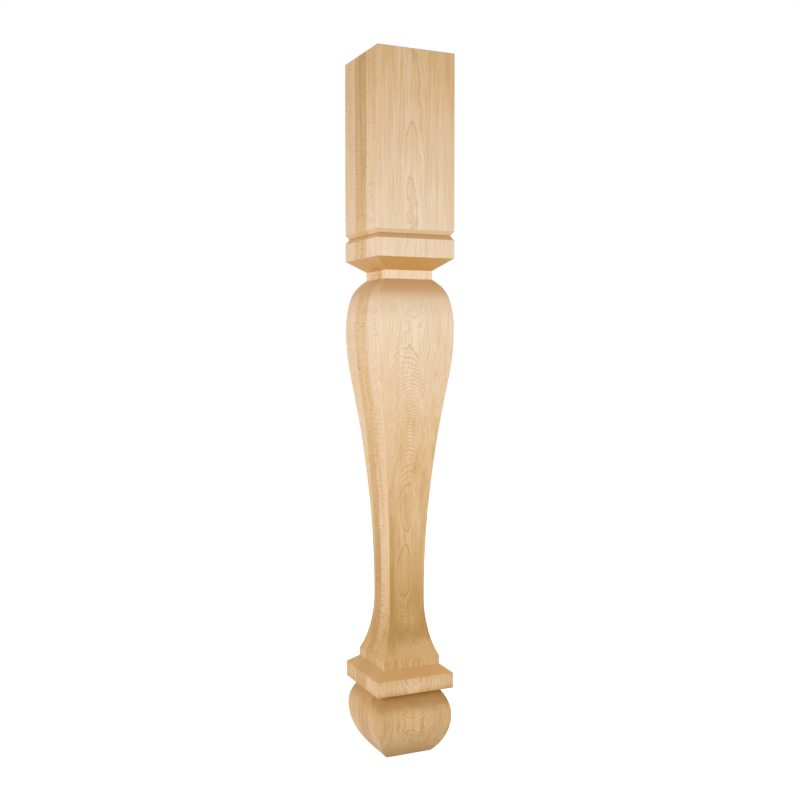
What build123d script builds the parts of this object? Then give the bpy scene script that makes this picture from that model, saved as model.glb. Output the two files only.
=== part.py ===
from build123d import *
from math import atan, cos, degrees, sin
import os

# A square table leg of bar height, cut on four sides from one glued-up blank of maple.
# Sizes are in millimetres. The origin is the middle of the sole, +Z is up and the front faces -Y.
# One outline is cut through the blank twice, from the front and from the side, so that the leg is
# square at each level and its curved faces meet in mitred corner lines.

# The blank, and how long the leg is cut.
LEG_HEIGHT = 1066.8
BLANK_WIDTH = 127.0

# Each cut below is a depth into every side of the blank.
# Foot, a swollen square on a flat sole.
FOOT_HEIGHT = 102.2
FOOT_WIDEST_HEIGHT = 60.0
SOLE_CUT = 25.5
FOOT_CUT = 2.0
FOOT_TOP_CUT = 19.1

# Plinth, a square slab with a bevelled top, and the upright fillet on it.
PLINTH_EDGE = 23.8
PLINTH_BEVEL = 12.2
FILLET_HEIGHT = 12.7
FILLET_CUT = 16.1

# Shaft, flared at its foot, narrow at the ankle and swelling to the belly under the neck.
# It takes up the length that the other parts of the leg leave.
ANKLE_RISE = 88.9
ANKLE_CUT = 33.9
ANKLE_RADIUS = 252.0
ANKLE_TURN = 14.6
BELLY_DROP = 74.2
BELLY_CUT = 0.3
LOWER_BELLY_RADIUS = 515.0
UPPER_BELLY_RADIUS = 195.0
UPPER_BELLY_TURN = 12.8
TAPER_LENGTH = 28.4

# Neck, then a band with a bevel below it and a V groove above it, and the plain block.
NECK_HEIGHT = 13.0
NECK_CUT = 25.2
BAND_BEVEL = 18.0
BAND_EDGE = 27.3
GROOVE_HEIGHT = 13.5
GROOVE_CUT = 4.6
BLOCK_HEIGHT = 265.0

# Sandpaper breaks each edge that stands out, by this much off both of its faces.
EASED_EDGE = 0.8

# Two points closer than this are the same point.
SAME_POINT = 0.01

# Levels above the sole.
plinth_base = FOOT_HEIGHT
plinth_shoulder = plinth_base + PLINTH_EDGE
fillet_base = plinth_shoulder + PLINTH_BEVEL
shaft_base = fillet_base + FILLET_HEIGHT
block_base = LEG_HEIGHT - BLOCK_HEIGHT
groove_tip = block_base - GROOVE_HEIGHT / 2
band_top = block_base - GROOVE_HEIGHT
band_base = band_top - BAND_EDGE
neck_top = band_base - BAND_BEVEL
neck_base = neck_top - NECK_HEIGHT
ankle_level = shaft_base + ANKLE_RISE
belly_level = neck_base - BELLY_DROP

# Reaches, from the axis out to the face.
block_reach = BLANK_WIDTH / 2
sole_reach = block_reach - SOLE_CUT
foot_reach = block_reach - FOOT_CUT
foot_top_reach = block_reach - FOOT_TOP_CUT
fillet_reach = block_reach - FILLET_CUT
ankle_reach = block_reach - ANKLE_CUT
belly_reach = block_reach - BELLY_CUT
neck_reach = block_reach - NECK_CUT
groove_reach = block_reach - GROOVE_CUT

# A hollow arc, a short straight and a full arc lead from the ankle to the belly, each tangent to
# the next. The outline is upright at both ends, so the two arcs turn by the same angle.
taper_rise = belly_level - ankle_level
taper_turn = 2 * atan((belly_reach - ankle_reach) / (taper_rise + TAPER_LENGTH))
hollow_radius = (taper_rise - TAPER_LENGTH * cos(taper_turn)) / sin(taper_turn) - LOWER_BELLY_RADIUS

# Corners of the outline that stand out. The others are hollow, and stay as the cutter left them.
outer_corners = [
    Vector(sole_reach, 0),
    Vector(block_reach, plinth_base),
    Vector(block_reach, plinth_shoulder),
    Vector(fillet_reach, shaft_base),
    Vector(block_reach, band_base),
    Vector(block_reach, band_top),
    Vector(block_reach, block_base),
    Vector(block_reach, LEG_HEIGHT),
]


def stands_out(vertex):
    """Say whether a vertex of the outline is one of its outer corners."""
    return any((vertex.center() - corner).length < SAME_POINT for corner in outer_corners)


with BuildSketch() as outline:
    with BuildLine():
        # Sole and foot.
        Line((0, 0), (sole_reach, 0))
        TangentArc((foot_reach, FOOT_WIDEST_HEIGHT), (sole_reach, 0), tangent=(0, -1))
        TangentArc((foot_reach, FOOT_WIDEST_HEIGHT), (foot_top_reach, plinth_base), tangent=(0, 1))

        # Plinth and fillet.
        Polyline(
            (foot_top_reach, plinth_base),
            (block_reach, plinth_base),
            (block_reach, plinth_shoulder),
            (fillet_reach, fillet_base),
            (fillet_reach, shaft_base),
        )

        # Flare, drawn down from the ankle.
        ankle_arc = JernArc((ankle_reach, ankle_level), (0, -1), ANKLE_RADIUS, ANKLE_TURN)
        TangentArc(ankle_arc @ 1, (fillet_reach, shaft_base), tangent=ankle_arc % 1)

        # Hollow taper, drawn up from the ankle to the belly.
        hollow = JernArc((ankle_reach, ankle_level), (0, 1), hollow_radius, -degrees(taper_turn))
        taper = PolarLine(hollow @ 1, TAPER_LENGTH, direction=hollow % 1)
        JernArc(taper @ 1, taper % 1, LOWER_BELLY_RADIUS, degrees(taper_turn))

        # Shoulder, drawn up from the belly to the neck.
        belly_arc = JernArc((belly_reach, belly_level), (0, 1), UPPER_BELLY_RADIUS, UPPER_BELLY_TURN)
        TangentArc(belly_arc @ 1, (neck_reach, neck_base), tangent=belly_arc % 1)

        # Neck, band, groove and block.
        Polyline(
            (neck_reach, neck_base),
            (neck_reach, neck_top),
            (block_reach, band_base),
            (block_reach, band_top),
            (groove_reach, groove_tip),
            (block_reach, block_base),
            (block_reach, LEG_HEIGHT),
            (0, LEG_HEIGHT),
            (0, 0),
        )
    make_face()
    chamfer(outline.vertices().filter_by(stands_out), EASED_EDGE)
    mirror(about=Plane.YZ)

with BuildPart() as leg:
    # Each cut runs right through the blank, with room to spare on both sides.
    with BuildSketch(Plane.XZ.offset(-BLANK_WIDTH)):
        add(outline.sketch)
    extrude(amount=2 * BLANK_WIDTH)
    with BuildSketch(Plane.YZ.offset(-BLANK_WIDTH)):
        add(outline.sketch)
    extrude(amount=2 * BLANK_WIDTH, mode=Mode.INTERSECT)

    # The mitred corner lines are all the edges that don't lie level.
    chamfer(leg.edges().filter_by(Plane.XY, reverse=True), EASED_EDGE)

leg.part.label = "leg"

os.makedirs("parts", exist_ok=True)
export_step(leg.part, "parts/leg.step")
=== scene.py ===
"""Dresses the square table leg: its milled shape, its three glued boards of maple, and a plain studio.

Lengths in the classes are millimetres unless a name says otherwise. Blender's own are metres.
"""

import logging
import math
from dataclasses import dataclass
from enum import Enum

import bpy
from mathutils import Matrix, Vector

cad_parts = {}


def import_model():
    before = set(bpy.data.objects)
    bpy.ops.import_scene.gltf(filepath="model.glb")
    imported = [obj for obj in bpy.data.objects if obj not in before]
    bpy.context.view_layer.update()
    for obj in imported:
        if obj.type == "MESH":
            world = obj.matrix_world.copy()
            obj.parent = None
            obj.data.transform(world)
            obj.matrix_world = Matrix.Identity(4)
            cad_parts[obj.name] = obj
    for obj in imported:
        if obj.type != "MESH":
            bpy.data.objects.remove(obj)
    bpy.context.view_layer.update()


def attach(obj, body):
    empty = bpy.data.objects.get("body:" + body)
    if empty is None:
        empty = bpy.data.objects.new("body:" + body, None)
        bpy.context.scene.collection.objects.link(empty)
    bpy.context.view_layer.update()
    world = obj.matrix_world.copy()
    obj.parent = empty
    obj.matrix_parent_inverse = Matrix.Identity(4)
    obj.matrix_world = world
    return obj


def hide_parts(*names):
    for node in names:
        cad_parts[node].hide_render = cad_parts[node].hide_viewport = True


LOG = logging.getLogger("table_leg")
MM = 0.001

# Short names for types, and for the commonest kinds of node. A RANGE carries its first input from
# the range of the next two to that of the last two.
Tree = bpy.types.NodeTree
Socket = bpy.types.NodeSocket
Inputs = dict[str | int, object] | tuple[object, ...]
MATH = "ShaderNodeMath"
VECTOR = "ShaderNodeVectorMath"
RANGE = "ShaderNodeMapRange"
MIX = "ShaderNodeMix"


def linear(hex_colour: str) -> tuple[float, float, float, float]:
    """Turn an sRGB colour such as "e8c9a0" into the linear values of a shader.

    Args:
        hex_colour: Six hexadecimal digits, red first.

    Returns:
        Red, green, blue and an alpha of one, all linear.
    """
    channels = [int(hex_colour[i:i + 2], 16) / 255 for i in (0, 2, 4)]
    red, green, blue = (c / 12.92 if c <= 0.04045 else ((c + 0.055) / 1.055) ** 2.4 for c in channels)
    return red, green, blue, 1.0


def add(tree: Tree, kind: str, inputs: Inputs, output: str = "", **settings: object) -> Socket | None:
    """Add a node with its settings and links.

    Args:
        tree: The node tree that the node goes in.
        kind: The node's type name.
        inputs: Sockets to link and values to set, by name or number of the input, or in order.
        output: Name of the output to return, if it isn't the first one in use.
        settings: The node's own properties.

    Returns:
        The output asked for, or nothing from a node that has none.
    """
    node = tree.nodes.new(kind)
    for name, value in settings.items():
        setattr(node, name, value)
    given = inputs if isinstance(inputs, dict) else dict(enumerate(inputs))
    for key, value in given.items():
        named = [socket for socket in node.inputs if socket.enabled and socket.name == key]
        socket = named[0] if named else node.inputs[key]
        if isinstance(value, Socket):
            tree.links.new(value, socket)
        else:
            socket.default_value = value
    outputs = [socket for socket in node.outputs if socket.enabled and output in ("", socket.name)]
    return outputs[0] if outputs else None


class Pen:
    """Draws an outline in millimetres, as points from the sole up, with short steps on its arcs.

    A point's first number is its reach from the leg's axis, and its second the level above the sole.
    """

    def __init__(self, start: Vector, step: float) -> None:
        """Set the pen down.

        Args:
            start: Where the outline starts.
            step: Longest step along an arc.
        """
        self.points: list[Vector] = [start]
        self.step = step

    def line(self, *ends: tuple[float, float]) -> None:
        """Draw straight on to each point in turn."""
        self.points.extend(Vector(end) for end in ends)

    def turn(self, heading: Vector, radius: float, angle: float) -> Vector:
        """Draw an arc that leaves along a heading.

        Args:
            heading: Direction in which the arc leaves.
            radius: The arc's radius.
            angle: How far it turns, in radians, anticlockwise if positive.

        Returns:
            The direction at the arc's end.
        """
        side = math.copysign(1.0, angle)
        centre = self.points[-1] + side * radius * Vector((-heading.y, heading.x))
        spoke = self.points[-1] - centre
        count = max(2, math.ceil(radius * abs(angle) / self.step))
        turns = [Matrix.Rotation(angle * i / count, 2) for i in range(1, count + 1)]
        self.points.extend(centre + turn @ spoke for turn in turns)
        return Matrix.Rotation(angle, 2) @ heading

    def turn_to(self, heading: Vector, end: tuple[float, float]) -> None:
        """Draw an arc that leaves along a heading and ends at a point.

        Args:
            heading: Direction in which the arc leaves.
            end: Where the arc ends.
        """
        chord = Vector(end) - self.points[-1]
        across = chord.dot(Vector((-heading.y, heading.x)))
        along = chord.dot(heading)
        self.turn(heading, chord.length_squared / (2 * abs(across)), 2 * math.atan2(across, along))

    def ease(self, corner: tuple[float, float], radius: float, cuts: int) -> None:
        """Round off one of the outline's corners, with a point on each side to hold the faces flat.

        Args:
            corner: The corner to round off.
            radius: Radius of the rounding.
            cuts: Number of steps that it is drawn in.
        """
        at = min(range(len(self.points)), key=lambda i: (self.points[i] - Vector(corner)).length)
        before = (self.points[at - 1] - self.points[at]).normalized()
        after = (self.points[at + 1] - self.points[at]).normalized()
        half = before.angle(after) / 2
        centre = self.points[at] + (before + after).normalized() * radius / math.sin(half)
        spoke = self.points[at] + before * radius / math.tan(half) - centre
        sweep = math.copysign(math.pi - 2 * half, after.cross(before))
        rounded = [centre + Matrix.Rotation(sweep * i / cuts, 2) @ spoke for i in range(cuts + 1)]
        self.points[at:at + 1] = [rounded[0] + before * radius, *rounded, rounded[-1] + after * radius]


@dataclass(frozen=True)
class Foot:
    """The swollen square foot on its flat sole. Cuts are depths into each side of the blank."""

    height: float = 102.2
    widest_level: float = 60.0
    sole_cut: float = 25.5
    widest_cut: float = 2.0
    top_cut: float = 19.1


@dataclass(frozen=True)
class Plinth:
    """The square slab over the foot, with a bevelled top and an upright fillet on it."""

    edge: float = 23.8
    bevel: float = 12.2
    fillet_height: float = 12.7
    fillet_cut: float = 16.1


@dataclass(frozen=True)
class Shaft:
    """The flare, the narrow ankle, the hollow taper and the belly. Angles are degrees."""

    ankle_rise: float = 88.9
    ankle_cut: float = 33.9
    ankle_radius: float = 252.0
    ankle_turn: float = 14.6
    belly_drop: float = 74.2
    belly_cut: float = 0.3
    lower_belly_radius: float = 515.0
    upper_belly_radius: float = 195.0
    upper_belly_turn: float = 12.8
    taper: float = 28.4


@dataclass(frozen=True)
class Head:
    """The neck, the bevelled band, the V groove and the plain block."""

    neck_height: float = 13.0
    neck_cut: float = 25.2
    bevel: float = 18.0
    band_edge: float = 27.3
    groove_height: float = 13.5
    groove_cut: float = 4.6
    block_height: float = 265.0


@dataclass(frozen=True)
class SquareLeg:
    """The whole leg: one outline on all four sides of the blank, with mitred corner lines."""

    height: float = 1066.8
    width: float = 127.0
    foot: Foot = Foot()
    plinth: Plinth = Plinth()
    shaft: Shaft = Shaft()
    head: Head = Head()
    edge_radius: float = 1.1
    edge_cuts: int = 5
    rows_across: int = 9
    arc_step: float = 3.0
    end_margin: float = 10.0
    crease_angle: float = 26.0

    def reach(self, cut: float) -> float:
        """Give how far out from the axis a face lies that is cut so deep into the blank."""
        return self.width / 2 - cut

    def outline(self) -> list[Vector]:
        """Draw one side of the leg from the sole to the top.

        Returns:
            Points of reach and level, with the outer corners rounded.
        """
        foot, plinth, shaft, head = self.foot, self.plinth, self.shaft, self.head
        up, down = Vector((0.0, 1.0)), Vector((0.0, -1.0))
        block = self.reach(0.0)
        sole = (self.reach(foot.sole_cut), 0.0)
        shoulder = foot.height + plinth.edge
        fillet_base = shoulder + plinth.bevel
        flare_end = (self.reach(plinth.fillet_cut), fillet_base + plinth.fillet_height)
        ankle = Vector((self.reach(shaft.ankle_cut), flare_end[1] + shaft.ankle_rise))
        block_base = self.height - head.block_height
        band_top = block_base - head.groove_height
        band_base = band_top - head.band_edge
        neck = self.reach(head.neck_cut)
        neck_base = band_base - head.bevel - head.neck_height
        belly = Vector((self.reach(shaft.belly_cut), neck_base - shaft.belly_drop))

        lower_foot = Pen(Vector((self.reach(foot.widest_cut), foot.widest_level)), self.arc_step)
        lower_foot.turn_to(down, sole)
        flare = Pen(ankle, self.arc_step)
        heading = flare.turn(down, shaft.ankle_radius, math.radians(shaft.ankle_turn))
        flare.turn_to(heading, flare_end)

        pen = Pen(Vector((sole[0] - self.end_margin, 0.0)), self.arc_step)
        pen.line(*reversed(lower_foot.points))
        pen.turn_to(up, (self.reach(foot.top_cut), foot.height))
        pen.line((block, foot.height), (block, shoulder), (flare_end[0], fillet_base))
        pen.line(*reversed(flare.points))
        rise = belly.y - ankle.y
        turn = 2 * math.atan((belly.x - ankle.x) / (rise + shaft.taper))
        hollow = (rise - shaft.taper * math.cos(turn)) / math.sin(turn) - shaft.lower_belly_radius
        heading = pen.turn(up, hollow, -turn)
        pen.line(pen.points[-1] + heading * shaft.taper)
        pen.turn(heading, shaft.lower_belly_radius, turn)
        heading = pen.turn(up, shaft.upper_belly_radius, math.radians(shaft.upper_belly_turn))
        pen.turn_to(heading, (neck, neck_base))
        pen.line((neck, neck_base + head.neck_height), (block, band_base), (block, band_top))
        pen.line((self.reach(head.groove_cut), (band_top + block_base) / 2), (block, block_base))
        pen.line((block, self.height), (block - self.end_margin, self.height))
        for corner in (sole, (block, foot.height), (block, shoulder), flare_end, (block, band_base),
                       (block, band_top), (block, block_base), (block, self.height)):
            pen.ease(corner, self.edge_radius, self.edge_cuts)
        return pen.points

    @staticmethod
    def sweep_tree() -> Tree:
        """Build the Geometry Nodes tree that carries a square up the outline.

        Its input mesh is the outline in the XZ plane. The sweep runs up a ladder of even steps, so
        that a level shelf in the outline does no harm, and each row then goes to its real reach and
        level. Rows of points crowd towards the corners, which holds the faces flat. The square is
        swept at a reach of one, of which its rounded corners take a tenth.

        Returns:
            The finished tree.
        """
        tree = bpy.data.node_groups.new("square_sweep", "GeometryNodeTree")
        face = tree.interface
        inputs = {"Outline": "Geometry", "Edge Radius": "Float", "Edge Cuts": "Int", "Rows Across": "Int",
                  "Crease Angle": "Float", "Finish": "Material"}
        for name, kind in inputs.items():
            face.new_socket(name, in_out="INPUT", socket_type="NodeSocket" + kind)
        face.new_socket("Leg", in_out="OUTPUT", socket_type="NodeSocketGeometry")
        given = add(tree, "NodeGroupInput", {}).node.outputs
        corner = 0.1
        doubles = 0.001 * MM

        curve = add(tree, "GeometryNodeMeshToCurve", {"Mesh": given["Outline"]})
        place = add(tree, "GeometryNodeInputPosition", {})
        capture = add(tree, "GeometryNodeCaptureAttribute", {"Geometry": curve}).node
        capture.capture_items.new("VECTOR", "Drawn")
        tree.links.new(place, capture.inputs["Drawn"])
        drawn = capture.outputs["Drawn"]
        rung = add(tree, "ShaderNodeCombineXYZ", {"Z": add(tree, "GeometryNodeInputIndex", {})})
        ladder = add(tree, "GeometryNodeSetPosition", {0: capture.outputs["Geometry"], "Position": rung})
        square = add(tree, "GeometryNodeCurvePrimitiveQuadrilateral", {"Width": 2.0, "Height": 2.0})
        rows = add(tree, "GeometryNodeSubdivideCurve", {"Curve": square, "Cuts": given["Rows Across"]})
        section = add(tree, "GeometryNodeFilletCurve",
                      {"Curve": rows, "Count": given["Edge Cuts"], "Radius": corner}, mode="POLY")
        swept = add(tree, "GeometryNodeCurveToMesh",
                    {"Curve": ladder, "Profile Curve": section, "Fill Caps": True})

        flat = 1.0 - corner
        capped = add(tree, VECTOR, (place, (flat,) * 3), operation="MINIMUM")
        inner = add(tree, VECTOR, (capped, (-flat,) * 3), operation="MAXIMUM")
        outer = add(tree, VECTOR, (place, inner), operation="SUBTRACT")
        even = add(tree, VECTOR, {0: inner, "Scale": 1.0 / flat}, operation="SCALE")
        size = add(tree, VECTOR, (even,), operation="ABSOLUTE")
        crowd = add(tree, VECTOR, ((2.0,) * 3, size), operation="SUBTRACT")
        crowded = add(tree, VECTOR, (even, crowd), operation="MULTIPLY")
        reach = add(tree, "ShaderNodeSeparateXYZ", (drawn,), output="X")
        flat_reach = add(tree, MATH, (reach, given["Edge Radius"]), operation="SUBTRACT")
        edge_scale = add(tree, MATH, (given["Edge Radius"], corner), operation="DIVIDE")
        faces = add(tree, VECTOR, {0: crowded, "Scale": flat_reach}, operation="SCALE")
        edges = add(tree, VECTOR, {0: outer, "Scale": edge_scale}, operation="SCALE")
        both = add(tree, VECTOR, (faces, edges), operation="ADD")
        across = add(tree, VECTOR, (both, (1.0, 1.0, 0.0)), operation="MULTIPLY")
        level = add(tree, VECTOR, (drawn, (0.0, 0.0, 1.0)), operation="MULTIPLY")
        final = add(tree, VECTOR, (across, level), operation="ADD")
        shaped = add(tree, "GeometryNodeSetPosition", {"Geometry": swept, "Position": final})

        # The fillet cuts the rows on the flat faces too, into doubled points.
        merged = add(tree, "GeometryNodeMergeByDistance", {"Geometry": shaped, "Distance": doubles})
        smooth = add(tree, "GeometryNodeSetShadeSmooth", {0: merged, "Shade Smooth": True}, domain="FACE")
        fold = add(tree, "GeometryNodeInputMeshEdgeAngle", {}, output="Unsigned Angle")
        sharp = add(tree, "FunctionNodeCompare", {"A": fold, "B": given["Crease Angle"]},
                    operation="GREATER_THAN")
        creased = add(tree, "GeometryNodeSetShadeSmooth",
                      {"Geometry": smooth, "Selection": sharp, "Shade Smooth": False}, domain="EDGE")
        real = add(tree, "GeometryNodeRealizeInstances", {"Geometry": creased})
        done = add(tree, "GeometryNodeSetMaterial", {"Geometry": real, "Material": given["Finish"]})
        add(tree, "NodeGroupOutput", {"Leg": done})
        return tree

    def build(self, finish: bpy.types.Material) -> bpy.types.Object:
        """Make the leg as one plain mesh.

        Args:
            finish: The wood that the whole leg is made of.

        Returns:
            The leg's object, at the origin.
        """
        points = [(p.x * MM, 0.0, p.y * MM) for p in self.outline()]
        drawing = bpy.data.meshes.new("leg_outline")
        drawing.from_pydata(points, [(i, i + 1) for i in range(len(points) - 1)], [])
        drawn = bpy.data.objects.new("leg_outline", drawing)
        bpy.context.scene.collection.objects.link(drawn)
        sweep = drawn.modifiers.new("Sweep", "NODES")
        sweep.node_group = self.sweep_tree()
        values = {
            "Edge Radius": self.edge_radius * MM,
            "Edge Cuts": self.edge_cuts,
            "Rows Across": self.rows_across,
            "Crease Angle": math.radians(self.crease_angle),
            "Finish": finish,
        }
        for item in sweep.node_group.interface.items_tree:
            if item.name in values:
                sweep[item.identifier] = values[item.name]
        evaluated = drawn.evaluated_get(bpy.context.evaluated_depsgraph_get())
        mesh = bpy.data.meshes.new_from_object(evaluated)
        mesh.name = "square_leg"
        leg = bpy.data.objects.new("square_leg", mesh)
        bpy.context.scene.collection.objects.link(leg)
        bpy.data.objects.remove(drawn)
        return leg


@dataclass(frozen=True)
class Board:
    """One board of the blank, as it was sawn from its log.

    The pith is the middle of the log's rings. It bows away by so much for each square millimetre of
    distance from the bow's level. Tone goes from 0, pale, to 1, dark, and the swing says how much of
    the tone's change along the leg the board takes. Pinkness is the share of pink in it.
    """

    pith_x: float
    pith_y: float
    bow: float
    first_ring: float
    tone: float
    swing: float
    pinkness: float = 0.0


class Place(Enum):
    """Where a board lies in the glued blank, and the board that is there."""

    FRONT = Board(pith_x=-5.0, pith_y=75.0, bow=3.3e-5, first_ring=0.02, tone=0.0, swing=1.0)
    MIDDLE = Board(pith_x=14.0, pith_y=128.0, bow=-1.4e-5, first_ring=40.3, tone=0.54, swing=0.22)
    BACK = Board(
        pith_x=9.0, pith_y=-77.0, bow=-3.0e-5, first_ring=80.7, tone=0.15, swing=0.42, pinkness=0.45
    )


class Axis(Enum):
    """The way that a bell runs: across the leg to the right, or up along it."""

    ACROSS = "across"
    ALONG = "along"


class Spot:
    """The point to colour, as outputs of nodes. Lengths are millimetres."""

    def __init__(self, tree: Tree, seam: float, apart: float) -> None:
        """Find the point's place, its board and the way that its surface faces.

        Args:
            tree: The material's node tree.
            seam: Distance of each glue line from the middle of the blank.
            apart: Distance between two boards' noise for each ring between their first rings.
        """
        self.tree = tree
        place = add(tree, "ShaderNodeTexCoord", {}, output="Object")
        point = add(tree, VECTOR, {0: place, "Scale": 1.0 / MM}, operation="SCALE")
        self.x, self.y, self.z = add(tree, "ShaderNodeSeparateXYZ", (point,)).node.outputs
        self.places = {Axis.ACROSS: self.x, Axis.ALONG: self.z}
        self.in_front = add(tree, MATH, (self.y, -seam), operation="LESS_THAN")
        self.in_back = add(tree, MATH, (self.y, seam), operation="GREATER_THAN")
        self.outer = add(tree, MATH, (self.in_front, self.in_back), operation="ADD")

        # Each board has its own grain, so its noise comes from its own place.
        self.first_ring = self.of_board("first_ring")
        shift = add(tree, MATH, (self.first_ring, apart), operation="MULTIPLY")
        offset = add(tree, "ShaderNodeCombineXYZ", (shift,) * 3)
        self.own = add(tree, VECTOR, (point, offset), operation="ADD")

        facing = add(tree, "ShaderNodeTexCoord", {}, output="Normal")
        right, _, self.upright = add(tree, "ShaderNodeSeparateXYZ", (facing,)).node.outputs
        self.sideward = add(tree, MATH, (right,), operation="ABSOLUTE")

    def of_board(self, name: str) -> Socket:
        """Pick a value of the board that the point lies in.

        Args:
            name: The name of the board's field.

        Returns:
            The value's output.
        """
        front, middle, back = (getattr(place.value, name) for place in Place)
        forward = add(self.tree, MIX, {"Factor": self.in_front, "A": middle, "B": front})
        return add(self.tree, MIX, {"Factor": self.in_back, "A": forward, "B": back})


@dataclass(frozen=True)
class Bell:
    """A soft rise from nought to one and back. At its spread from the middle about a third is left."""

    middle: float
    spread: float
    amount: float = 1.0
    axis: Axis = Axis.ALONG

    def at(self, spot: Spot) -> Socket:
        """Give the bell's height.

        Args:
            spot: The point to colour.

        Returns:
            The height, from nought to one.
        """
        tree = spot.tree
        away = add(tree, MATH, (spot.places[self.axis], self.middle), operation="SUBTRACT")
        scaled = add(tree, MATH, (away, self.spread), operation="DIVIDE")
        square = add(tree, MATH, (scaled, 2.0), operation="POWER")
        fall = add(tree, MATH, (square, -1.0), operation="MULTIPLY")
        return add(tree, MATH, (fall,), operation="EXPONENT")

    def onto(
        self, spot: Spot, value: Socket | float, share: Socket | float = 1.0, clamped: bool = False
    ) -> Socket:
        """Add the bell's amount to a value.

        Args:
            spot: The point to colour.
            value: What the bell is added to.
            share: How much of the bell counts at the point.
            clamped: Whether the sum is held between nought and one.

        Returns:
            The sum.
        """
        height = add(spot.tree, MATH, (self.at(spot), share), operation="MULTIPLY")
        return add(spot.tree, MATH, (height, self.amount, value), operation="MULTIPLY_ADD",
                   use_clamp=clamped)


@dataclass(frozen=True)
class Cloud:
    """A value that varies softly within a board.

    The grain is a patch's size across the leg, in depth and along it, and the usual range is that
    of the noise.
    """

    grain: tuple[float, float, float]
    low: float
    high: float
    detail: float = 2.0
    usual: tuple[float, float] = (0.3, 0.7)

    def at(self, spot: Spot) -> Socket:
        """Give the cloud's value.

        Args:
            spot: The point to colour.

        Returns:
            The value, from the low to the high one.
        """
        scaled = add(spot.tree, VECTOR, (spot.own, self.grain), operation="DIVIDE")
        noise = add(spot.tree, "ShaderNodeTexNoise", {0: scaled, "Scale": 1.0, "Detail": self.detail})
        return add(spot.tree, RANGE, (noise, *self.usual, self.low, self.high))


@dataclass(frozen=True)
class Thread:
    """A thin dark line. It is full out to its core, and gone at its edge."""

    middle: float
    core: float
    edge: float
    depth: float

    def at(self, tree: Tree, place: Socket) -> Socket:
        """Draw the line.

        Args:
            tree: The material's node tree.
            place: Where the point lies, measured across the line.

        Returns:
            The share of brown.
        """
        off = add(tree, MATH, (place, self.middle), operation="SUBTRACT")
        gap = add(tree, MATH, (off,), operation="ABSOLUTE")
        return add(tree, RANGE, (gap, self.edge, self.core, 0.0, self.depth))


@dataclass(frozen=True)
class Rings:
    """How the growth rings run through a point, as outputs of nodes.

    Off is how far to the pith's side the point lies, and the age counts rings from the pith. The
    season is the share of the ring that lies inside the point, and the width is the ring's. Young is
    one in a young ring, else nought. Oval is one in the middle of the ovals, and fades around them.
    """

    off: Socket
    age: Socket
    season: Socket
    width: Socket
    young: Socket
    oval: Socket


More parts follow.
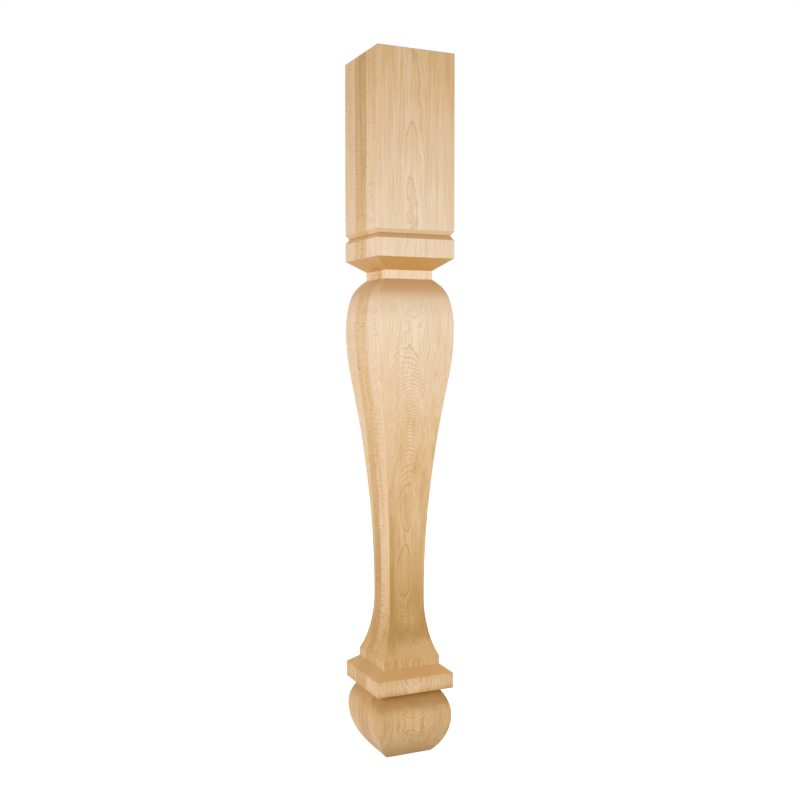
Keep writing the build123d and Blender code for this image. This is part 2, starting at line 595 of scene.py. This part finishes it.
@dataclass(frozen=True)
class HardMaple:
    """Hard maple: three planed boards glued face to face, milled and sanded, with no finish.

    Growth rings are thin darker lines. They show as arches on the flat-sawn front and back, and as
    straight fine lines on the sides. Lengths are millimetres. A bell marks a place where something
    rises, or falls if it is negative.
    """

    # Long grain from pale to dark, its blush, the summer wood, and end grain that looks up or down. The
    # end grain colours are partly painted shade, and the amber of faces that look down is painted shade.
    cream: str = "e7d0b3"
    honey: str = "dab37e"
    tan: str = "b58843"
    umber: str = "a4762b"
    pink: str = "e2c09a"
    ring_brown: str = "9c6a34"
    end_brown_and_shade: str = "cc9b5e"
    end_amber_and_shade: str = "c0892c"
    honey_tone: float = 0.5
    tan_tone: float = 1.0
    umber_tone: float = 1.3

    # Glue lines, and how far apart the boards' noise is taken.
    glue: Thread = Thread(21.2, core=0.1, edge=0.45, depth=0.4)
    apart: float = 37.0

    # The pith leans and bows. Rings close to it are wide, and the later ones start thin and widen.
    bow_level: float = 715.0
    lean: float = -0.006
    young_radius: float = 112.0
    young_ring: float = 4.0
    old_ring: float = 0.632
    widening: float = 0.0175
    wander: Cloud = Cloud((38.0, 38.0, 110.0), -0.7, 0.7)
    shiver: Cloud = Cloud((6.0, 6.0, 14.0), -0.18, 0.18, 3.0)
    calming: float = 0.8

    # In the front board the rings ripple at the ankle, and are pushed about at the arches.
    swell: Bell = Bell(335.2, 128.0)
    swell_height: float = 0.388
    swell_length: float = 104.5
    swell_tilt: float = 0.0259
    swell_bowl: float = 3.216e-4
    swell_lean: float = 0.06
    sidestep: Bell = Bell(612.0, 30.0, -14.0)
    belly: Bell = Bell(592.0, 40.0)
    belly_bulge: Bell = Bell(50.0, 28.0, -4.5, Axis.ACROSS)
    low_arch: Bell = Bell(845.0, 45.0, -0.3)
    top_arch: Bell = Bell(1110.0, 120.0, -2.0)

    # Summer wood's share of a ring. Near the ovals it starts small and grows with each millimetre.
    summer_wood: float = 0.32
    thin_line: float = 0.05
    thin_growth: float = 0.0226
    young_line: float = 0.012
    young_growth: float = 0.0052
    line_core: float = 0.15
    faintest_ring: float = 0.45

    # Rings show on the fillet and plinth, in the middle, and at the belly's right. They are faint up
    # the ladder, in the middle of plinth and foot, and in three quiet places.
    crown: Bell = Bell(-5.0, 15.0, axis=Axis.ACROSS)
    ovals: Bell = Bell(290.0, 58.0)
    right: Bell = Bell(14.0, 20.0, axis=Axis.ACROSS)
    patchy: Cloud = Cloud((12.0, 12.0, 40.0), 0.5, 1.0)
    shaft_end: float = 153.0
    fillet_start: float = 149.0
    fillet_rings: float = 0.7
    contrast: float = 0.62
    fillet_contrast: float = 0.2
    elsewhere: float = 0.4
    ladder: Bell = Bell(440.0, 80.0, -0.28)
    ball: Bell = Bell(60.0, 28.0, 0.65)
    notch: Bell = Bell(-3.0, 14.0, -0.85, Axis.ACROSS)
    quiet: tuple[Bell, ...] = (Bell(187.0, 36.0, -0.97), Bell(704.0, 30.0, -0.85), Bell(94.0, 12.0, -0.85))

    # Tone along the leg: pale at the belly, darker to both ends and most at the ankle. This is partly the
    # wood's tone and partly painted light: a sheen on the belly and light that falls off towards the ends.
    # Painted shade darkens the top of the foot under the plinth, and painted light pales the plinth. The
    # front board's sides take less of this, and the middle board is paler at the foot.
    end_tone: float = 0.55
    pale: Bell = Bell(740.0, 215.0, -0.55)
    dark: Bell = Bell(207.0, 78.0, 0.44)
    # Painted shade on the top of the foot, where the plinth shades it.
    shade_under_plinth: Bell = Bell(90.0, 13.0, 0.9)
    # Painted light that pales the plinth. Its place also quiets the rings there.
    slab: Bell = Bell(114.0, 13.0, -0.3)
    flare: Bell = Bell(187.0, 14.0, 0.3)
    side_swing: float = -0.3
    middle_foot: Bell = Bell(60.0, 80.0, -0.18)

    # Tone of the sides, with paler sapwood and a painted highlight by the near corner in front at the
    # waist and darker wood behind it, and of two darker places in the front board.
    side_tone: float = 0.35
    side_pale: Bell = Bell(630.0, 380.0, -0.35)
    sapwood_and_highlight: Bell = Bell(305.0, 130.0)
    sapwood_and_highlight_full: float = -5.0
    sapwood_and_highlight_end: float = 4.0
    sapwood_and_highlight_tone: float = -0.5
    behind_tone: float = 0.12
    heart: Bell = Bell(-27.0, 8.0, 0.25, Axis.ACROSS)
    waist: Bell = Bell(320.0, 120.0)
    taper: Bell = Bell(410.0, 110.0, 0.13)

    # Streaks and blotches. Fibres and vessels are under 0.1 mm wide, too fine to show, so they are
    # drawn 2 and 1.5 mm wide.
    streak: Cloud = Cloud((9.0, 5.0, 330.0), -0.12, 0.12)
    blotch: Cloud = Cloud((45.0, 45.0, 90.0), -0.08, 0.08)
    fibre: Cloud = Cloud((2.0, 2.0, 90.0), -0.12, 0.12, 3.0)
    vessel: Cloud = Cloud((1.5, 1.5, 60.0), -1.6, 1.0)
    vessel_depth: float = 0.22
    spring_tone: float = -0.14
    oval_spring: float = 0.12
    spring_width: float = 0.5

    # How steeply a surface looks up or down where end grain and painted shade start to show, where they
    # show the most, and how much that is. Streaks and vessels fade a little faster.
    upward: tuple[float, float, float] = (0.08, 0.5, 0.8)
    downward: tuple[float, float, float] = (-0.4, -0.8, 0.86)
    grain_fade: float = 1.2

    # The pink blush, which is most in the upper leg and at one place by the front's left edge.
    blush: Cloud = Cloud((16.0, 10.0, 120.0), -0.3, 0.45)
    rosy: Bell = Bell(720.0, 460.0)
    rosy_level: Bell = Bell(455.0, 60.0)
    rosy_edge: Bell = Bell(-32.0, 12.0, 0.55, Axis.ACROSS)

    # Rays, which are under 1 mm tall, too fine to show, and drawn twice that.
    ray: Cloud = Cloud((0.5, 22.0, 1.6), -1.7, 1.0, 1.0)
    ray_depth: float = 0.08
    side_rays: float = 0.36
    outer_rays: float = -0.2
    ankle_rays: float = 0.18

    # Pin knots in the front board, by their places across and along the leg.
    knots: tuple[tuple[float, float], ...] = ((-28.5, 367.0), (-4.5, 335.5))
    knot_width: float = 2.2
    knot_height: float = 6.5
    knot_depth: float = 0.35

    # A sawn end looks straight up. So many of its rings are drawn as one, as they are too fine to show.
    sawn: tuple[float, float] = (0.93, 0.98)
    rings_drawn: float = 6.0
    sawn_core: float = 0.35
    sawn_depth: float = 0.4

    # A thin dark line along the bottom of the V groove.
    groove_line: Thread = Thread(795.05, core=0.3, edge=1.3, depth=0.6)

    # The surface: sheen that varies a little, and fibres in relief, by so much for a tone of one.
    sheen: Cloud = Cloud((3.0, 3.0, 30.0), 0.45, 0.57)
    relief: float = 0.2
    relief_strength: float = 0.25

    def ripple(self, spot: Spot) -> tuple[Socket, Socket, Socket]:
        """Ripple and tilt the rings at the ankle, where the front shows two closed ovals.

        Args:
            spot: The point to colour.

        Returns:
            How far the rings stand out there, how far they lean to the side, and how near it is.
        """
        tree = spot.tree
        away = add(tree, MATH, (spot.z, self.swell.middle), operation="SUBTRACT")
        turn = add(tree, MATH, (away, math.tau / self.swell_length), operation="MULTIPLY")
        wave = add(tree, MATH, (turn,), operation="COSINE")
        height = add(tree, MATH, (wave, self.swell_height), operation="MULTIPLY")
        slope = add(tree, MATH, (away, -self.swell_bowl, -self.swell_tilt), operation="MULTIPLY_ADD")
        shape = add(tree, MATH, (away, slope, height), operation="MULTIPLY_ADD")
        lean = add(tree, MATH, (away, self.swell_lean), operation="MULTIPLY")
        near = self.swell.at(spot)
        return (
            add(tree, MATH, (shape, near), operation="MULTIPLY"),
            add(tree, MATH, (lean, near), operation="MULTIPLY"),
            near,
        )

    def rings(self, spot: Spot) -> Rings:
        """Find the distance from the bowed pith, and from that the ring that the point lies in.

        Args:
            spot: The point to colour.

        Returns:
            The rings at the point.
        """
        tree = spot.tree
        out, sideways, near = self.ripple(spot)
        level = add(tree, MATH, (spot.z, self.bow_level), operation="SUBTRACT")
        square = add(tree, MATH, (level, 2.0), operation="POWER")
        pith_y = add(tree, MATH, (square, spot.of_board("bow"), spot.of_board("pith_y")),
                     operation="MULTIPLY_ADD")
        leant = add(tree, MATH, (level, self.lean, spot.of_board("pith_x")), operation="MULTIPLY_ADD")
        pushed = self.sidestep.onto(spot, sideways)
        pith_x = add(tree, MATH, (pushed, spot.in_front, leant), operation="MULTIPLY_ADD")
        side = add(tree, MATH, (spot.x, pith_x), operation="SUBTRACT")
        depth = add(tree, MATH, (spot.y, pith_y), operation="SUBTRACT")
        spoke = add(tree, "ShaderNodeCombineXYZ", (side, depth))
        radius = add(tree, VECTOR, (spoke,), operation="LENGTH")

        # The rings wander, but less at the ripple.
        bulged = self.belly_bulge.onto(spot, out, self.belly.at(spot))
        arched = self.top_arch.onto(spot, self.low_arch.onto(spot, bulged))
        in_front = add(tree, MATH, (arched, spot.in_front), operation="MULTIPLY")
        calm = add(tree, MATH, (near, -self.calming, 1.0), operation="MULTIPLY_ADD")
        rough = add(tree, MATH, (self.wander.at(spot), self.shiver.at(spot)), operation="ADD")
        moved = add(tree, MATH, (rough, calm, in_front), operation="MULTIPLY_ADD")
        bent = add(tree, MATH, (radius, moved), operation="ADD")

        # All young rings have one width. Each old one is wider than the one inside it.
        older = add(tree, MATH, (bent, self.young_radius), operation="SUBTRACT")
        young_depth = add(tree, MATH, (older, 0.0), operation="MINIMUM")
        old_depth = add(tree, MATH, (older, 0.0), operation="MAXIMUM")
        opened = add(tree, MATH, (old_depth, -self.widening), operation="MULTIPLY")
        share = add(tree, MATH, (opened,), operation="EXPONENT")
        most = 1.0 / (self.widening * self.old_ring)
        old_count = add(tree, MATH, (share, -most, most), operation="MULTIPLY_ADD")
        count = add(tree, MATH, (young_depth, 1.0 / self.young_ring, old_count), operation="MULTIPLY_ADD")
        age = add(tree, MATH, (count, spot.first_ring), operation="ADD")
        later = add(tree, MATH, (self.old_ring, share), operation="DIVIDE")
        young = add(tree, MATH, (older, 0.0), operation="LESS_THAN")
        width = add(tree, MATH, (young, self.young_ring - self.old_ring, later), operation="MULTIPLY_ADD")
        return Rings(
            off=add(tree, MATH, (side,), operation="ABSOLUTE"),
            age=age,
            season=add(tree, MATH, (age,), operation="FRACT"),
            width=width,
            young=young,
            oval=add(tree, MATH, (self.crown.at(spot), self.ovals.at(spot)), operation="MULTIPLY"),
        )

    def clearness(self, spot: Spot, fillet: Socket) -> Socket:
        """Say how clearly the rings show at a point.

        Args:
            spot: The point to colour.
            fillet: How clearly they show on the fillet and below it, and nought above.

        Returns:
            A share from nought to one.
        """
        tree = spot.tree
        fan = add(tree, MATH, (self.right.at(spot), self.belly.at(spot)), operation="MULTIPLY")
        crowned = add(tree, MATH, (self.crown.at(spot), fan), operation="MAXIMUM")
        clear = add(tree, MATH, (crowned, fillet), operation="MAXIMUM")
        least = self.ladder.onto(spot, self.elsewhere)
        shown = add(tree, RANGE, (clear, 0.0, 1.0, least, 1.0))
        slab_or_ball = self.ball.onto(spot, self.slab.at(spot), clamped=True)
        kept = [self.notch.onto(spot, 1.0, slab_or_ball), *(bell.onto(spot, 1.0) for bell in self.quiet)]
        for share in kept:
            shown = add(tree, MATH, (shown, share), operation="MULTIPLY")
        return shown

    def ring_mark(self, spot: Spot, rings: Rings) -> Socket:
        """Draw the thin line of darker summer wood that ends a ring. Some rings hardly show.

        Args:
            spot: The point to colour.
            rings: The rings there.

        Returns:
            The share of brown.
        """
        tree = spot.tree
        young = add(tree, MATH, (rings.off, self.young_growth, self.young_line), operation="MULTIPLY_ADD")
        thin = add(tree, MATH, (rings.off, self.thin_growth, self.thin_line), operation="MULTIPLY_ADD")
        old = add(tree, MIX, {"Factor": rings.oval, "A": self.summer_wood, "B": thin})
        part = add(tree, MIX, {"Factor": rings.young, "A": old, "B": young})
        left = add(tree, MATH, (1.0, rings.season), operation="SUBTRACT")
        inside = add(tree, MATH, (left, part), operation="DIVIDE")
        line = add(tree, RANGE, (inside, 1.0, self.line_core), interpolation_type="SMOOTHSTEP")

        year = add(tree, MATH, (rings.age,), operation="FLOOR")
        luck = add(tree, "ShaderNodeTexWhiteNoise", {"W": year}, noise_dimensions="1D")
        strength = add(tree, RANGE, (luck, 0.0, 1.0, self.faintest_ring, 1.0))
        bolder = add(tree, MATH, (rings.oval, strength), operation="ADD")
        fillet = add(tree, RANGE, (spot.z, self.shaft_end, self.fillet_start, 0.0, self.fillet_rings))
        contrast = add(tree, MATH, (fillet, self.fillet_contrast, self.contrast), operation="MULTIPLY_ADD")
        for share in (bolder, self.clearness(spot, fillet), self.patchy.at(spot), contrast):
            line = add(tree, MATH, (line, share), operation="MULTIPLY")
        return line

    def cut_across(self, spot: Spot) -> Socket:
        """Say how much the surface cuts across the grain.

        Args:
            spot: The point to colour.

        Returns:
            A share, from nought on an upright face to nearly one.
        """
        shares = tuple(
            add(spot.tree, RANGE, (spot.upright, start, full, 0.0, most))
            for start, full, most in (self.upward, self.downward)
        )
        return add(spot.tree, MATH, shares, operation="MAXIMUM")

    def tone(self, spot: Spot, rings: Rings, fibre: Socket, with_grain: Socket) -> Socket:
        """Say how dark the wood is at a point, painted light and shade included, before anything is drawn
        on it.

        Args:
            spot: The point to colour.
            rings: The rings there.
            fibre: The tone of the fibres there.
            with_grain: One where the surface runs along the grain, nought across it.

        Returns:
            The tone, where 0 is cream and 1 is tan.
        """
        tree = spot.tree
        # The wood's tone along the leg, partly painted light at the belly and towards the ends.
        along = self.pale.onto(spot, self.end_tone)
        # Painted shade under the plinth and painted light on the plinth go in with the wood's tone here.
        for bell in (self.dark, self.shade_under_plinth, self.slab, self.flare):
            along = bell.onto(spot, along)
        flank = add(tree, MATH, (spot.sideward, spot.in_front), operation="MULTIPLY")
        held = add(tree, MATH, (flank, self.side_swing, spot.of_board("swing")), operation="MULTIPLY_ADD")
        inner = add(tree, MATH, (1.0, spot.outer), operation="SUBTRACT")
        own = self.middle_foot.onto(spot, spot.of_board("tone"), inner)
        based = add(tree, MATH, (along, held, own), operation="MULTIPLY_ADD")

        # The sides in front are paler at the waist, partly sapwood and partly a painted highlight by the
        # near corner.
        near_front = add(tree, RANGE, (
            spot.y, self.sapwood_and_highlight_end, self.sapwood_and_highlight_full, self.behind_tone, self.sapwood_and_highlight_tone,
        ))
        side = self.sapwood_and_highlight.onto(spot, self.side_pale.onto(spot, self.side_tone), near_front)
        sided = add(tree, MATH, (side, spot.sideward, based), operation="MULTIPLY_ADD")
        waist = add(tree, MATH, (self.waist.at(spot), spot.in_front), operation="MULTIPLY")
        hearted = self.heart.onto(spot, sided, waist)
        tapered = self.taper.onto(spot, hearted, spot.in_front)

        streaks = add(tree, MATH, (self.streak.at(spot), fibre), operation="ADD")
        blotched = add(tree, MATH, (tapered, self.blotch.at(spot)), operation="ADD")
        fibred = add(tree, MATH, (streaks, with_grain, blotched), operation="MULTIPLY_ADD")
        begun = add(tree, MATH, (rings.season, rings.width), operation="MULTIPLY")
        least = add(tree, MATH, (rings.oval, self.oval_spring, self.spring_tone), operation="MULTIPLY_ADD")
        spring = add(tree, RANGE, (begun, 0.0, self.spring_width, least, 0.0))
        return add(tree, MATH, (fibred, spring), operation="ADD")

    def long_grain(self, spot: Spot, tone: Socket) -> Socket:
        """Colour the wood by its tone, with a pink blush in patches.

        Args:
            spot: The point to colour.
            tone: How dark the wood is there.

        Returns:
            The colour.
        """
        tree = spot.tree
        share = add(tree, MATH, (tone, 1.0 / self.umber_tone), operation="MULTIPLY")
        ramp = add(tree, "ShaderNodeValToRGB", {"Fac": share})
        steps = ramp.node.color_ramp.elements
        steps.new(self.honey_tone / self.umber_tone)
        steps.new(self.tan_tone / self.umber_tone)
        for step, colour in zip(steps, (self.cream, self.honey, self.tan, self.umber)):
            step.color = linear(colour)
        pinker = add(tree, MATH, (spot.of_board("pinkness"), self.blush.at(spot)),
                     operation="ADD", use_clamp=True)
        patches = add(tree, MATH, (pinker, self.rosy.at(spot)), operation="MULTIPLY")
        level = add(tree, MATH, (self.rosy_level.at(spot), spot.in_front), operation="MULTIPLY")
        pink = self.rosy_edge.onto(spot, patches, level, clamped=True)
        return add(tree, MIX, {"Factor": pink, "A": ramp, "B": linear(self.pink)}, data_type="RGBA")

    def end_grain_and_shade(self, spot: Spot, cut: Socket, colour: Socket) -> Socket:
        """Make the colour browner where the grain is cut, and more amber where the cut looks down.

        The brown is partly end grain and partly painted shade on sloping faces, such as the shoulder
        under the neck. The amber on faces that look down is painted shade.

        Args:
            spot: The point to colour.
            cut: How much the surface cuts across the grain there.
            colour: The long grain's colour.

        Returns:
            The new colour.
        """
        tree = spot.tree
        down = add(tree, MATH, (spot.upright, 0.0), operation="LESS_THAN")
        # Amber on faces that look down is painted shade.
        brown = add(tree, MIX, {"Factor": down, "A": linear(self.end_brown_and_shade), "B": linear(self.end_amber_and_shade)},
                    data_type="RGBA")
        return add(tree, MIX, {"Factor": cut, "A": colour, "B": brown}, data_type="RGBA",
                   blend_type="DARKEN")

    def other_marks(self, spot: Spot, rings: Rings, with_grain: Socket) -> tuple[Socket, ...]:
        """Draw the sawn ends' rings, rays, vessels, knots, glue lines and the dark line in the V groove.

        Args:
            spot: The point to colour.
            rings: The rings there.
            with_grain: One where the surface runs along the grain, nought across it.

        Returns:
            The share of brown of each.
        """
        tree = spot.tree
        sawn = add(tree, RANGE, (spot.upright, *self.sawn))
        drawn = add(tree, MATH, (rings.age, 1.0 / self.rings_drawn), operation="MULTIPLY")
        season = add(tree, MATH, (drawn,), operation="FRACT")
        dense = add(tree, RANGE, (season, self.sawn_core, 1.0, 0.0, self.sawn_depth))
        sawn_rings = add(tree, MATH, (dense, sawn), operation="MULTIPLY")

        # Rays are dashes on the sides, and specks in front and behind.
        fewer = add(tree, MATH, (spot.outer, self.outer_rays, self.side_rays), operation="MULTIPLY_ADD")
        denser = add(tree, MATH, (self.dark.at(spot), self.ankle_rays, fewer), operation="MULTIPLY_ADD")
        depth = add(tree, MATH, (spot.sideward, denser, self.ray_depth), operation="MULTIPLY_ADD")
        rays = add(tree, MATH, (self.ray.at(spot), depth), operation="MULTIPLY", use_clamp=True)

        # Vessels are fine hairs along the grain.
        hairs = add(tree, MATH, (with_grain, self.vessel_depth), operation="MULTIPLY")
        vessels = add(tree, MATH, (self.vessel.at(spot), hairs), operation="MULTIPLY", use_clamp=True)

        total = 0.0
        for across, level in self.knots:
            wide = Bell(across, self.knot_width, axis=Axis.ACROSS)
            total = Bell(level, self.knot_height, self.knot_depth).onto(spot, total, wide.at(spot))
        knots = add(tree, MATH, (total, spot.in_front), operation="MULTIPLY")

        # A glue line lies on each side of the middle.
        middle = add(tree, MATH, (spot.y,), operation="ABSOLUTE")
        return sawn_rings, rays, vessels, knots, self.glue.at(tree, middle), self.groove_line.at(tree, spot.z)

    def material(self) -> bpy.types.Material:
        """Build the wood's material.

        Returns:
            The finished material.
        """
        made = bpy.data.materials.new("hard_maple_bare_sanded")
        made.use_nodes = True
        tree = made.node_tree
        tree.nodes.clear()
        spot = Spot(tree, self.glue.middle, self.apart)
        rings = self.rings(spot)
        fibre = self.fibre.at(spot)
        cut = self.cut_across(spot)
        with_grain = add(tree, MATH, (cut, -self.grain_fade, 1.0), operation="MULTIPLY_ADD", use_clamp=True)
        colour = self.long_grain(spot, self.tone(spot, rings, fibre, with_grain))
        # End grain, partly painted shade on slopes and under bevels.
        colour = self.end_grain_and_shade(spot, cut, colour)
        for mark in (self.ring_mark(spot, rings), *self.other_marks(spot, rings, with_grain)):
            colour = add(
                tree, MIX, {"Factor": mark, "A": colour, "B": linear(self.ring_brown)}, data_type="RGBA"
            )
        raised = add(tree, "ShaderNodeBump",
                     {"Strength": self.relief_strength, "Distance": self.relief * MM, "Height": fibre})
        shader = add(tree, "ShaderNodeBsdfPrincipled",
                     {"Base Color": colour, "Roughness": self.sheen.at(spot), "Normal": raised})
        add(tree, "ShaderNodeOutputMaterial", {"Surface": shader})
        return made


@dataclass(frozen=True)
class Lamp:
    """A square softbox. Its place and side are metres, and its power is watts."""

    name: str
    place: tuple[float, float, float]
    target: tuple[float, float, float]
    side: float
    power: float

    def build(self) -> None:
        """Hang the lamp and turn it to its target. The camera doesn't see it."""
        light = bpy.data.lights.new(self.name, "AREA")
        light.size = self.side
        light.energy = self.power
        lamp = bpy.data.objects.new(self.name, light)
        lamp.location = self.place
        lamp.rotation_euler = (Vector(self.target) - Vector(self.place)).to_track_quat("-Z", "Y").to_euler()
        lamp.visible_camera = False
        bpy.context.scene.collection.objects.link(lamp)


def seen(tree: Tree) -> Socket:
    """Tell the rays that show the background from those that light the leg.

    Args:
        tree: The node tree to add to.

    Returns:
        One for a camera, glossy or transmission ray, and nought for the others.
    """
    ray = add(tree, "ShaderNodeLightPath", {}).node.outputs
    gloss = add(tree, MATH, (ray["Is Camera Ray"], ray["Is Glossy Ray"]), operation="MAXIMUM")
    return add(tree, MATH, (gloss, ray["Is Transmission Ray"]), operation="MAXIMUM")


@dataclass(frozen=True)
class MattPaint:
    """The floor's matt paint: a light grey that glows white to the camera and still takes a shadow."""

    grey: str = "b4b4b4"
    white: str = "ffffff"
    glow: float = 0.85
    roughness: float = 0.9

    def material(self) -> bpy.types.Material:
        """Build the paint's material.

        Returns:
            The finished material.
        """
        made = bpy.data.materials.new("matt_white_floor_paint")
        made.use_nodes = True
        tree = made.node_tree
        tree.nodes.clear()
        lift = add(tree, MATH, (seen(tree), self.glow), operation="MULTIPLY")
        shader = add(tree, "ShaderNodeBsdfPrincipled", {
            "Base Color": linear(self.grey), "Roughness": self.roughness,
            "Emission Color": linear(self.white), "Emission Strength": lift,
        })
        add(tree, "ShaderNodeOutputMaterial", {"Surface": shader})
        return made


@dataclass(frozen=True)
class Studio:
    """A white sweep of floor and background, and soft light. Sizes are metres."""

    lamps: tuple[Lamp, ...] = (
        Lamp("front_softbox", (0.25, -1.35, 0.64), (0.0, 0.0, 0.64), 0.7, 10.3),
        Lamp("left_softbox", (-1.4, -0.36, 0.55), (0.0, 0.0, 0.55), 0.9, 16.0),
        Lamp("rear_softbox", (1.5, 1.9, 1.5), (0.0, 0.0, 0.55), 1.5, 60.0),
        Lamp("top_softbox", (0.0, 0.0, 2.2), (0.0, 0.0, 1.07), 0.5, 4.2),
    )
    ambient: float = 0.42
    ceiling: float = 0.12
    floor_side: float = 40.0

    def build(self) -> None:
        """Lay the floor, light the world and hang the lamps."""
        world = bpy.data.worlds.new("studio")
        bpy.context.scene.world = world
        world.use_nodes = True
        tree = world.node_tree
        tree.nodes.clear()
        direction = add(tree, "ShaderNodeTexCoord", {}, output="Generated")
        rise = add(tree, "ShaderNodeSeparateXYZ", (direction,), "Z")
        dim = add(tree, RANGE, (rise, 0.0, 1.0, self.ambient, self.ceiling))
        strength = add(tree, MIX, {"Factor": seen(tree), "A": dim, "B": 1.0})
        glow = add(tree, "ShaderNodeBackground", {"Color": linear("ffffff"), "Strength": strength})
        add(tree, "ShaderNodeOutputWorld", {"Surface": glow})
        half = self.floor_side / 2
        mesh = bpy.data.meshes.new("floor")
        square = [(-half, -half, 0), (half, -half, 0), (half, half, 0), (-half, half, 0)]
        mesh.from_pydata(square, [], [(0, 1, 2, 3)])
        mesh.materials.append(MattPaint().material())
        floor = bpy.data.objects.new("floor", mesh)
        bpy.context.scene.collection.objects.link(floor)
        for lamp in self.lamps:
            lamp.build()


@dataclass(frozen=True)
class StudioCamera:
    """The camera, a little left of the leg's front and just above its middle. Place is metres."""

    place: tuple[float, float, float] = (-0.66896, -1.47102, 0.62101)
    yaw: float = 24.517
    dip: float = 2.686
    lens: float = 46.88
    sensor: float = 36.0

    def build(self) -> None:
        """Set up the camera and make it the scene's own."""
        data = bpy.data.cameras.new("camera")
        data.lens = self.lens
        data.sensor_width = self.sensor
        camera = bpy.data.objects.new("camera", data)
        camera.location = self.place
        camera.rotation_euler = (math.radians(90 - self.dip), 0.0, math.radians(-self.yaw))
        bpy.context.scene.collection.objects.link(camera)
        bpy.context.scene.camera = camera


def main() -> None:
    """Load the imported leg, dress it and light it."""
    logging.basicConfig(level=logging.INFO, format="%(name)s: %(message)s")
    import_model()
    bpy.context.scene.view_settings.view_transform = "Standard"

    StudioCamera().build()
    Studio().build()
    LOG.info("camera, floor and lamps are in place")

    leg = SquareLeg().build(HardMaple().material())
    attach(leg, "root")
    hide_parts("leg")
    LOG.info("leg has %d faces", len(leg.data.polygons))


if __name__ == "__main__":
    main()
